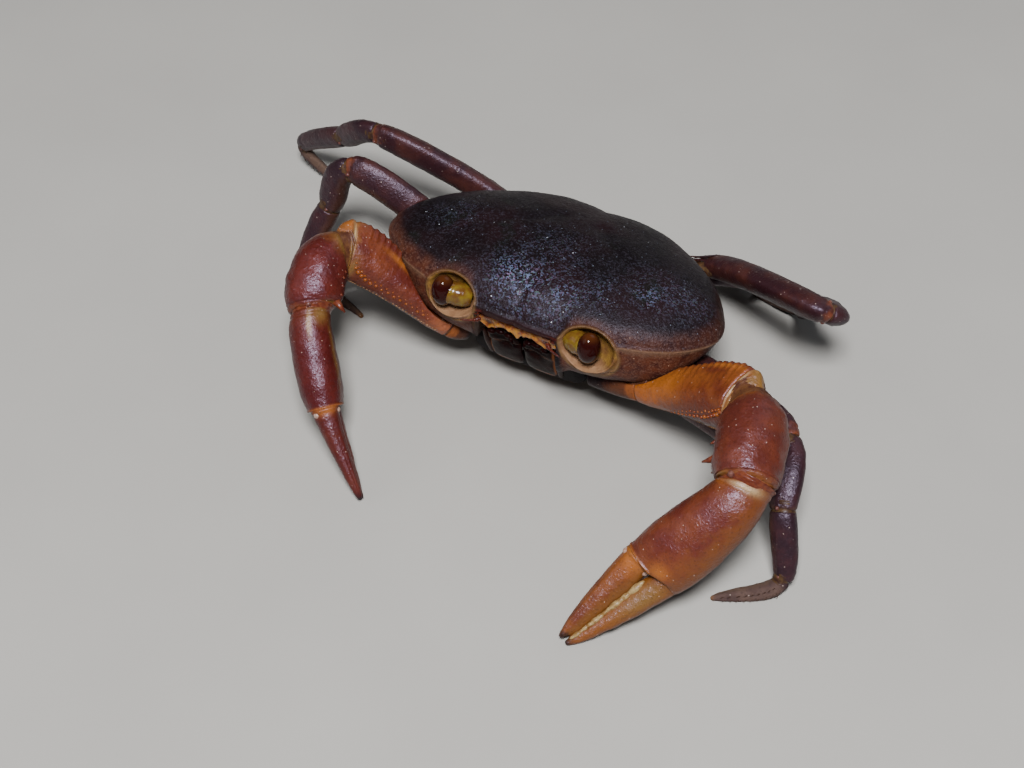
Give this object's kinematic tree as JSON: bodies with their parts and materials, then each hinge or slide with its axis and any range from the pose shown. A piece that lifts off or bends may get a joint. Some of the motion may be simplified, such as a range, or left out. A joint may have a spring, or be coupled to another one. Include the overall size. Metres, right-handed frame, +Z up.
{
  "type": "freshwater crab",
  "caption": "Life-size still model of a dark, smooth-shelled freshwater crab standing with its red claws held forward.",
  "frame": {"origin": "on the floor under the middle of the crab's bounding box", "axes": "the crab looks along -Y, its own left is +X, +Z is up from the floor"},
  "size_m": [0.0974, 0.069, 0.0231],
  "materials": {
    "shell": "near-black purple shell, finely grained, satin",
    "claw": "brick to maroon red, finely grained, with orange joints",
    "leg": "dark purple brown with orange and yellow joints",
    "sternum": "pale ochre underside, satin",
    "mouth": "dark brown plates with pale orange rims",
    "epistome": "wet orange yellow",
    "eye": "dark maroon cornea, polished, on an olive stalk"
  },
  "bodies": {
    "root": {"carapace": "shell", "thorax": "sternum", "abdomen": "sternum", "epistome": "epistome", "maxilliped_left": "mouth", "eye_left": "eye", "antenna_left": "epistome", "maxilliped_right": "mouth", "eye_right": "eye", "antenna_right": "epistome", "claw_left_base": "claw", "claw_left_merus": "claw", "claw_left_carpus": "claw", "claw_left_palm": "claw", "claw_left_finger": "claw", "leg2_left_base": "leg", "leg2_left_merus": "leg", "leg2_left_carpus": "leg", "leg2_left_propodus": "leg", "leg2_left_dactylus": "leg", "leg3_left_base": "leg", "leg3_left_merus": "leg", "leg3_left_carpus": "leg", "leg3_left_propodus": "leg", "leg3_left_dactylus": "leg", "leg4_left_base": "leg", "leg4_left_merus": "leg", "leg4_left_carpus": "leg", "leg4_left_propodus": "leg", "leg4_left_dactylus": "leg", "leg5_left_base": "leg", "leg5_left_merus": "leg", "leg5_left_carpus": "leg", "leg5_left_propodus": "leg", "leg5_left_dactylus": "leg", "claw_right_base": "claw", "claw_right_merus": "claw", "claw_right_carpus": "claw", "claw_right_palm": "claw", "claw_right_finger": "claw", "leg2_right_base": "leg", "leg2_right_merus": "leg", "leg2_right_carpus": "leg", "leg2_right_propodus": "leg", "leg2_right_dactylus": "leg", "leg3_right_base": "leg", "leg3_right_merus": "leg", "leg3_right_carpus": "leg", "leg3_right_propodus": "leg", "leg3_right_dactylus": "leg", "leg4_right_base": "leg", "leg4_right_merus": "leg", "leg4_right_carpus": "leg", "leg4_right_propodus": "leg", "leg4_right_dactylus": "leg", "leg5_right_base": "leg", "leg5_right_merus": "leg", "leg5_right_carpus": "leg", "leg5_right_propodus": "leg", "leg5_right_dactylus": "leg"}
  },
  "joints": []
}
